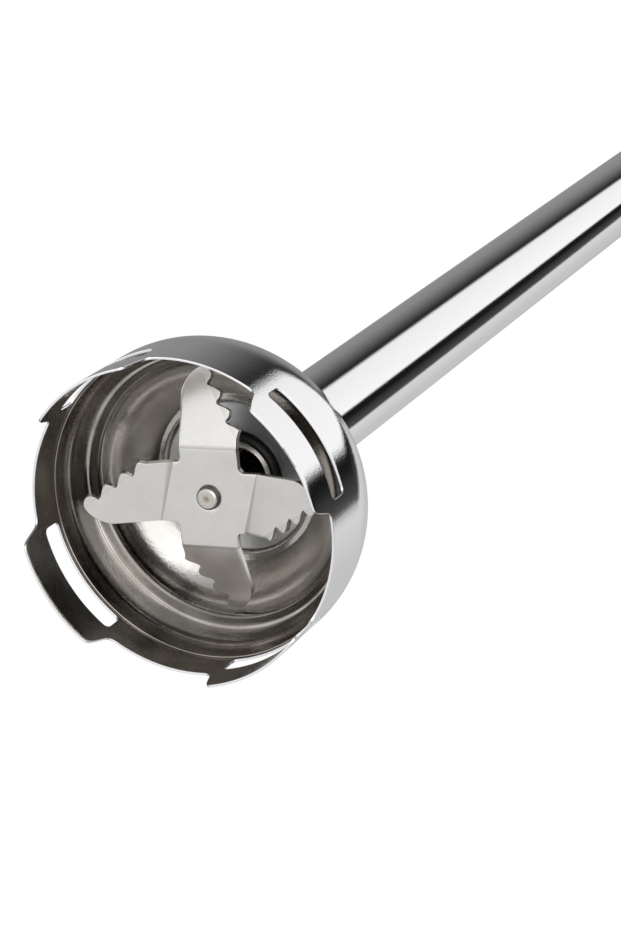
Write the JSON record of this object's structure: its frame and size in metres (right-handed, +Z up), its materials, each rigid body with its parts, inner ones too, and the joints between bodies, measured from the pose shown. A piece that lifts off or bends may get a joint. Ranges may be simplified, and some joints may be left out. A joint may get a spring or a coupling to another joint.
{
  "type": "immersion blender",
  "caption": "Stick blender: polished slotted bell with a bent serrated cross blade on a long steel tube, plugged into a motor handle with press buttons and a speed dial.",
  "frame": {"origin": "centre of the bell's mouth, in the plane of the four feet it stands on", "axes": "+Z up along the drive shaft towards the motor handle; the handle's press buttons face -Y; +X to the right of someone facing the buttons"},
  "size_m": [0.06, 0.06, 0.51],
  "materials": {
    "polished_steel": "mirror polished stainless steel",
    "satin_steel": "stamped stainless steel, left dull inside the bell",
    "ground_steel": "fine ground stainless steel",
    "machined_steel": "turned or drawn steel",
    "sintered_bronze": "oil-soaked sintered bronze",
    "copper": "enamelled copper wire and copper bars",
    "ferrite": "dark grey ferrite",
    "carbon": "pressed carbon",
    "dark_plastic": "dark grey moulded plastic, fine grain",
    "light_plastic": "natural glass-filled plastic",
    "black_plastic": "black moulded plastic",
    "soft_grip": "soft-touch rubber",
    "black_rubber": "black rubber",
    "board": "green circuit board laminate"
  },
  "bodies": {
    "handle": {"socket_ring": "polished_steel", "front_shell": "dark_plastic", "rear_shell": "dark_plastic", "rear_grip": "soft_grip", "fascia": "ground_steel", "top_cap": "dark_plastic", "cord_gland": "black_rubber", "chassis": "light_plastic", "latch_ring": "machined_steel", "motor_can": "machined_steel", "mount_ring": "black_rubber", "magnet_right": "ferrite", "magnet_left": "ferrite", "brush_plate": "black_plastic", "brush_rear": "carbon", "brush_front": "carbon", "lower_bearing": "machined_steel", "upper_bearing": "machined_steel", "switch_board": "board", "power_switch": "black_plastic", "turbo_switch": "black_plastic", "power_spring": "machined_steel", "turbo_spring": "machined_steel", "control_board": "board", "speed_pot": "machined_steel", "motor_screw_1": "machined_steel", "motor_screw_2": "machined_steel"},
    "wand": {"bell_guard": "polished_steel", "inner_cup": "satin_steel", "shaft_tube": "polished_steel", "bearing_carrier": "polished_steel", "carrier_gasket": "black_rubber", "rib_insert": "black_plastic", "lip_seal": "black_rubber", "lower_bush": "sintered_bronze", "mid_bush": "light_plastic", "upper_bush": "sintered_bronze", "wand_collar": "dark_plastic", "collar_oring": "black_rubber"},
    "blade_drive": {"drive_shaft": "machined_steel", "blade_cross": "ground_steel", "blade_washer": "machined_steel", "shaft_circlip": "machined_steel", "driven_coupling": "machined_steel"},
    "armature": {"motor_shaft": "machined_steel", "armature_core": "machined_steel", "lower_winding": "copper", "upper_winding": "copper", "commutator": "copper", "cooling_fan": "black_plastic", "driver_coupling": "light_plastic"},
    "power_button": {"power_button": "dark_plastic"},
    "turbo_button": {"turbo_button": "dark_plastic"},
    "release_right": {"release_right": "dark_plastic"},
    "release_left": {"release_left": "dark_plastic"},
    "speed_dial": {"speed_dial": "dark_plastic", "dial_spindle": "machined_steel"}
  },
  "joints": [
    {"name": "wand_release", "type": "slide", "parent": "handle", "child": "wand", "axis": [0, 0, -1], "range_m": [0, 0.03], "deforming": ["latch_ring"]},
    {"name": "motor_spin", "type": "hinge", "parent": "handle", "child": "armature", "pos_m": [0, 0, 0.413], "axis": [0, 0, 1], "continuous": true},
    {"name": "blade_spin", "type": "hinge", "parent": "wand", "child": "blade_drive", "pos_m": [0, 0, 0.0175], "axis": [0, 0, 1], "continuous": true},
    {"name": "power_press", "type": "slide", "parent": "handle", "child": "power_button", "axis": [0, 1, 0], "range_m": [0, 0.0015], "stiffness_N_per_m": 700, "springref_m": -0.0015, "deforming": ["power_spring"]},
    {"name": "turbo_press", "type": "slide", "parent": "handle", "child": "turbo_button", "axis": [0, 1, 0], "range_m": [0, 0.0015], "stiffness_N_per_m": 700, "springref_m": -0.0015, "deforming": ["turbo_spring"]},
    {"name": "release_right_press", "type": "slide", "parent": "handle", "child": "release_right", "axis": [-1, 0, 0], "range_m": [0, 0.0012], "stiffness_N_per_m": 2500, "springref_m": -0.001},
    {"name": "release_left_press", "type": "slide", "parent": "handle", "child": "release_left", "axis": [1, 0, 0], "range_m": [0, 0.0012], "stiffness_N_per_m": 2500, "springref_m": -0.001},
    {"name": "dial_turn", "type": "hinge", "parent": "handle", "child": "speed_dial", "pos_m": [0, -0.006, 0.506], "axis": [0, 0, 1], "range_deg": [0, 270]}
  ],
  "couplings": [
    {"joint": "blade_spin", "follows": "motor_spin", "ratio": 1}
  ]
}
